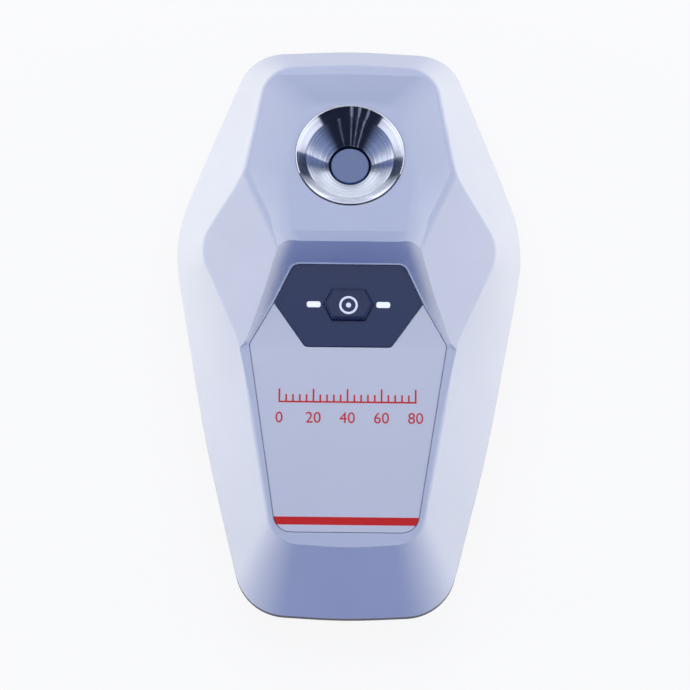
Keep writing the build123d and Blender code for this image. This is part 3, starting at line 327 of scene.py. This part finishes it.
def litPlastic(name, size, glow):
    # clear or white plastic that glows: the window has lamps behind it, while the key mark has none and its
    # glow is painted light
    look = litLook
    book = Book(bpy.data.materials.new(name))
    cloud = book.noise(size * mm)
    shade = book.vary(cloud, look["dark"], look["light"])
    return book.finish(
        Base_Color=shade, Roughness=book.spread(cloud, *look["gloss"]), Emission_Color=shade,
        Emission_Strength=glow
    )


finishes = {
    "case": mouldedPlastic("case plastic", (0.80, 0.82, 0.87)),
    "base": mouldedPlastic("base plastic", (0.030, 0.038, 0.065), rough=0.5, relief=0.02),
    "label": labelFilm(),
    "keyPanel": mouldedPlastic("key panel film", (0.024, 0.047, 0.140), rough=0.38, grain=0.14, relief=0.005),
    "key": softRubber("key rubber", (0.038, 0.054, 0.125), rough=0.55),
    "seal": softRubber("seal rubber", (0.012, 0.012, 0.014)),
    "foot": softRubber("foot rubber", (0.02, 0.02, 0.022)),
    "dish": turnedSteel(),
    "prism": prismGlass(),
    "screw": platedMetal("zinc screw", (0.70, 0.70, 0.72)),
    "nut": platedMetal("aluminium nut", (0.78, 0.79, 0.80), 0.35),
    "contact": platedMetal("nickel contact", (0.72, 0.69, 0.62), 0.2),
    "guide": litPlastic("lit window", 0.5, 0.5),
    "black": mouldedPlastic("black moulding", (0.02, 0.02, 0.022), rough=0.5),
    "chip": mouldedPlastic("chip moulding", (0.025, 0.025, 0.028), rough=0.45, grain=0.1),
    "board": circuitBoard(),
    "lamp": mouldedPlastic("lamp body", (0.85, 0.84, 0.75), rough=0.3),
    "connector": mouldedPlastic("connector body", (0.70, 0.65, 0.50), rough=0.4),
    "ribbon": mouldedPlastic("ribbon film", (0.45, 0.20, 0.04), rough=0.3),
    "cell": cellJacket(),
    "ink": printInk("red ink", (0.97, 0.006, 0.004)),
    # the key mark is white print; the glow of its finish is painted light
    "markInkPaintedGlow": litPlastic("key mark ink with painted glow", 0.15, 0.30),
}
slotFinish = {
    "housing_white": "case", "base_grey": "base", "label_film": "label", "key_panel_navy": "keyPanel",
    "key_rubber": "key", "seal_rubber": "seal", "foot_rubber": "foot", "dish_steel": "dish",
    "fastener_steel": "screw", "nut_aluminium": "nut", "prism_glass": "prism", "lens_glass": "prism",
    "guide_clear": "guide", "optics_black": "black", "board_green": "board", "chip_black": "chip",
    "lamp_white": "lamp", "switch_black": "black", "connector_ivory": "connector", "ribbon_amber": "ribbon",
    "contact_nickel": "contact", "cell_jacket": "cell", "cradle_black": "black",
}
nodeSlot = {entry["node"]: entry["material_slot"] for entry in frame["record"]["subparts"]}
for nodeName, node in frame["nodes"].items():
    node.data.materials.clear()
    node.data.materials.append(finishes[slotFinish[nodeSlot[nodeName]]])
print("finishes on", len(frame["nodes"]), "nodes")


field = {"tilt": 6.5, "pivotY": -9.3, "pivotZ": 23.9, "labelTop": -0.05, "keyTop": 0.9}
slope = math.radians(field["tilt"])


def onField(x, y, height):
    # the point above x, y at a height over the label plane, in metres
    run = y - field["pivotY"]
    return Vector((
        x, y - height * math.sin(slope), field["pivotZ"] + run * math.tan(slope) + height * math.cos(slope),
    )) * mm


def deselect():
    bpy.ops.object.select_all(action="DESELECT")


def layOnField(piece, x, y, height):
    # turns a flat piece, drawn about the world origin, into the field's slope and moves it there
    piece.data.transform(Matrix.Translation(onField(x, y, height)) @ Matrix.Rotation(slope, 4, "X"))
    piece.data.update()
    return piece


def dress(piece, name, body, finish):
    piece.name = name
    piece.data.name = name
    piece.data.materials.clear()
    piece.data.materials.append(finishes[finish])
    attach(piece, body)
    return piece


def weldMesh():
    # welds the open mesh in edit mode and turns its faces outwards
    bpy.ops.mesh.select_all(action="SELECT")
    bpy.ops.mesh.remove_doubles(threshold=0.001 * mm)
    bpy.ops.mesh.normals_make_consistent(inside=False)
    bpy.ops.object.mode_set(mode="OBJECT")


def printedText(words, size, depth):
    # the outline of generic figures, made a mesh and given the thickness of ink
    deselect()
    bpy.ops.object.text_add(location=(0, 0, 0))
    text = bpy.context.object
    text.data.body = words
    text.data.size = size * mm
    text.data.align_x = "CENTER"
    text.data.align_y = "CENTER"
    text.data.extrude = depth * mm / 2
    text.data.resolution_u = 4
    bpy.ops.object.convert(target="MESH")
    bpy.ops.object.mode_set(mode="EDIT")
    weldMesh()
    return bpy.context.object


def printedBar(width, length, depth):
    deselect()
    bpy.ops.mesh.primitive_cube_add(size=1)
    bar = bpy.context.object
    bar.data.transform(Matrix.Diagonal((width * mm, length * mm, depth * mm, 1)))
    return bar


def join(pieces):
    deselect()
    for piece in pieces:
        piece.select_set(True)
    bpy.context.view_layer.objects.active = pieces[0]
    bpy.ops.object.join()
    return bpy.context.object


scaleMarks = {
    "y": -20.6, "half": 13.2, "numbers": ("0", "20", "40", "60", "80"), "size": 3.1, "numberDrop": 3.2,
    "long": 2.4, "short": 1.3, "stroke": 0.32, "shortPerGap": 4, "ink": 0.02,
}


def buildScale():
    s = scaleMarks
    gaps = len(s["numbers"]) - 1
    steps = gaps * (s["shortPerGap"] + 1)
    middle = field["labelTop"] + s["ink"] / 2
    printed = []
    for i in range(steps + 1):
        x = s["half"] * (2 * i / steps - 1)
        length = s["short"] if i % (s["shortPerGap"] + 1) else s["long"]
        bar = printedBar(s["stroke"], length, s["ink"])
        printed.append(layOnField(bar, x, s["y"] + (s["stroke"] + length) / 2, middle))
    line = printedBar(2 * s["half"] + s["stroke"], s["stroke"], s["ink"])
    printed.append(layOnField(line, 0, s["y"], middle))
    for i, number in enumerate(s["numbers"]):
        x = s["half"] * (2 * i / gaps - 1)
        figures = printedText(number, s["size"], s["ink"])
        printed.append(layOnField(figures, x, s["y"] - s["numberDrop"], middle))
    return dress(join(printed), "labelScale", "case", "ink")


buildScale()
print("label scale printed")

keyMark = {"y": -1.55, "outer": 1.8, "stroke": 0.42, "dot": 0.5, "ink": 0.03, "sides": 64}


def buildKeyMark():
    # both drawn from the key's top upwards
    k = keyMark
    deselect()
    bpy.ops.mesh.primitive_circle_add(vertices=k["sides"], radius=k["outer"] * mm, fill_type="NGON")
    ring = bpy.context.object
    bpy.ops.object.mode_set(mode="EDIT")
    bpy.ops.mesh.inset(thickness=k["stroke"] * mm)
    bpy.ops.mesh.delete(type="FACE")
    bpy.ops.mesh.select_all(action="SELECT")
    bpy.ops.mesh.extrude_region_move(TRANSFORM_OT_translate={"value": (0, 0, k["ink"] * mm)})
    weldMesh()
    deselect()
    bpy.ops.mesh.primitive_cylinder_add(vertices=k["sides"], radius=k["dot"] * mm, depth=k["ink"] * mm)
    dot = bpy.context.object
    dot.data.transform(Matrix.Translation((0, 0, k["ink"] / 2 * mm)))
    mark = join([ring, dot])
    layOnField(mark, 0, k["y"], field["keyTop"])
    # white print whose finish carries a painted glow
    return dress(mark, "keyMark", "power_key", "markInkPaintedGlow")


buildKeyMark()
print("key mark printed")


studio = {
    "floorSize": 3.0, "floorDrop": 0.02, "floorCloud": 0.4, "floorDark": (0.86, 0.86, 0.87),
    "floorLight": (0.88, 0.88, 0.89), "floorLit": 0.09, "litReach": 0.20, "litFade": 0.12,
    "fill": (0.11, 0.165, 0.43), "surround": (1.0, 1.0, 1.0),
}


def mirrorRays(book, rays):
    # the rays that see the surroundings in a mirror or through glass
    return book.add("ShaderNodeMath", {"operation": "MAXIMUM"}, {0: rays[3], 1: rays[6]})[0]


def shownRays(book, rays):
    # these and the camera's own
    return book.add("ShaderNodeMath", {"operation": "MAXIMUM"}, {0: rays[0], 1: mirrorRays(book, rays)})[0]


def buildFloor():
    # shows its own light and shadow near the object and runs into the surround further out
    deselect()
    bpy.ops.mesh.primitive_plane_add(size=studio["floorSize"], location=(0, 0, -studio["floorDrop"] * mm))
    floor = bpy.context.object
    floor.name = "floor"
    book = Book(bpy.data.materials.new("studio floor"))
    shade = book.vary(book.noise(studio["floorCloud"]), studio["floorDark"], studio["floorLight"])
    lit = book.add("ShaderNodeBsdfDiffuse", None, {"Color": shade})[0]
    pale = book.add("ShaderNodeEmission", None, {"Color": studio["surround"], "Strength": 1.0})[0]
    x, y = book.axes()[:2]
    near = 1 - book.step((x * x + y * y).sqrt(), studio["litReach"], studio["litFade"])
    shown = shownRays(book, book.add("ShaderNodeLightPath")) * (1 - near * studio["floorLit"])
    mixed = book.add("ShaderNodeMixShader", None, {0: shown, 1: lit, 2: pale})[0]
    floor.data.materials.append(book.show(mixed))


# what metal and glass see: each edge is (place, soft width), on axes of length 1
mirrored = {
    "ceiling": (0.012, 0.016, 0.035), "gap": (0.03, 0.045, 0.11), "gapTop": (0.2, 0.04),
    "glow": (0.20, 0.26, 0.46), "glowFront": (0.13, 0.25), "glowTop": (0.78, 0.06),
    "panel": (1.32, 1.34, 1.42), "panelFront": (0.0, 0.02), "panelRear": (0.0, 0.02),
    "panelTop": (0.38, 0.03), "rear": (1.62, 1.64, 1.76), "rearFront": (0.0, 0.25), "rearTop": (0.38, 0.08),
    "frontLean": 0.73, "panelRearLean": 0.45, "lopsided": 0.07, "flank": (0.3, 0.1),
    "slit": (0.9, 1.0, 1.3), "slitWidth": 0.011, "slitEdge": (0.0, 0.004), "slitEndSoft": 0.02,
    "slits": ((-0.47, 0.68, 0.95), (0.035, 0.25, 0.68), (0.27, 0.25, 0.68), (0.58, 0.25, 0.95)),
}


def buildWorld():
    # a white surround; metal and glass see softboxes at both sides, a white rear wall and a dark front
    world = bpy.data.worlds.new("studio")
    bpy.context.scene.world = world
    book = Book(world, "ShaderNodeOutputWorld")
    m = mirrored
    x, y, up = book.axes()
    aside = x.abs()
    front = y + aside * m["frontLean"]
    flanks = book.step(aside, *m["flank"])
    glow = book.step(front, *m["glowFront"]) * flanks * (1 - book.step(up, *m["glowTop"]))
    panels = book.step(front, *m["panelFront"]) * flanks
    panels = panels * book.step(aside * m["panelRearLean"] - x * m["lopsided"] - y, *m["panelRear"])
    panels = panels * (1 - book.step(up, *m["panelTop"]))
    rear = book.step(y - aside, *m["rearFront"]) * (1 - book.step(up, *m["rearTop"]))
    seen = book.blend(glow, m["ceiling"], m["glow"])
    seen = book.blend(1 - book.step(up, *m["gapTop"]), seen, m["gap"])
    for lean, foot, top in m["slits"]:
        line = book.step(m["slitWidth"] - (x / y - lean).abs(), *m["slitEdge"]) * (y < 0)
        line = line * book.step(up, foot, m["slitEndSoft"]) * (1 - book.step(up, top, m["slitEndSoft"]))
        seen = book.blend(line, seen, m["slit"])
    seen = book.blend(panels, seen, m["panel"])
    seen = book.blend(rear, seen, m["rear"])
    rays = book.add("ShaderNodeLightPath")
    around = book.blend(mirrorRays(book, rays), studio["surround"], seen)
    shown = book.add("ShaderNodeBackground", None, {0: around, 1: 1.0})[0]
    fill = book.add("ShaderNodeBackground", None, {0: studio["fill"], 1: 1.0})[0]
    book.show(book.add("ShaderNodeMixShader", None, {0: shownRays(book, rays), 1: fill, 2: shown})[0])


sideBox = {"rise": 5.5, "away": 0.62, "size": (0.16, 0.11), "color": (1.0, 0.94, 0.68), "mirrored": False}
softboxes = {
    "leftBox": {**sideBox, "aside": 180, "level": 0.60},
    "rightBox": {**sideBox, "aside": 0, "level": 0.57},
    "overhead": {
        "aside": 90, "rise": 60, "away": 0.75, "size": (0.80, 0.60), "level": 0.49, "color": (1.0, 1.0, 0.90),
        "mirrored": True,
    },
}


def buildLights():
    # at level 1 a surface that faces the box shows its own colour
    for name, box in softboxes.items():
        aside, rise = math.radians(box["aside"]), math.radians(box["rise"])
        level = math.cos(rise)
        toward = Vector((math.cos(aside) * level, math.sin(aside) * level, math.sin(rise)))
        data = bpy.data.lights.new(name, "AREA")
        data.shape = "RECTANGLE"
        data.size, data.size_y = box["size"]
        data.energy = box["level"] * (math.pi * box["away"]) ** 2
        data.color = box["color"]
        lamp = bpy.data.objects.new(name, data)
        lamp.visible_glossy = box["mirrored"]
        lamp.location = toward * box["away"]
        lamp.rotation_euler = (-toward).to_track_quat("-Z", "Y").to_euler()
        bpy.context.scene.collection.objects.link(lamp)


view = {
    "target": (-0.0006, -0.0056, 0.014), "distance": 0.560, "elevation": 69.5, "roll": 0.62,
    "sensor": 36.0, "span": 0.1368,
}


def buildCamera():
    data = bpy.data.cameras.new("camera")
    data.sensor_width = view["sensor"]
    data.lens = view["sensor"] * view["distance"] / view["span"]
    camera = bpy.data.objects.new("camera", data)
    up = math.radians(view["elevation"])
    target = Vector(view["target"])
    camera.location = target + Vector((0, -math.cos(up), math.sin(up))) * view["distance"]
    turn = (target - camera.location).to_track_quat("-Z", "Y").to_matrix().to_4x4()
    turn = turn @ Matrix.Rotation(math.radians(view["roll"]), 4, "Z")
    camera.rotation_euler = turn.to_euler()
    bpy.context.scene.collection.objects.link(camera)
    bpy.context.scene.camera = camera


buildFloor()
buildWorld()
buildLights()
buildCamera()
bpy.context.scene.view_settings.view_transform = "Standard"
print("stage, lights and camera set")
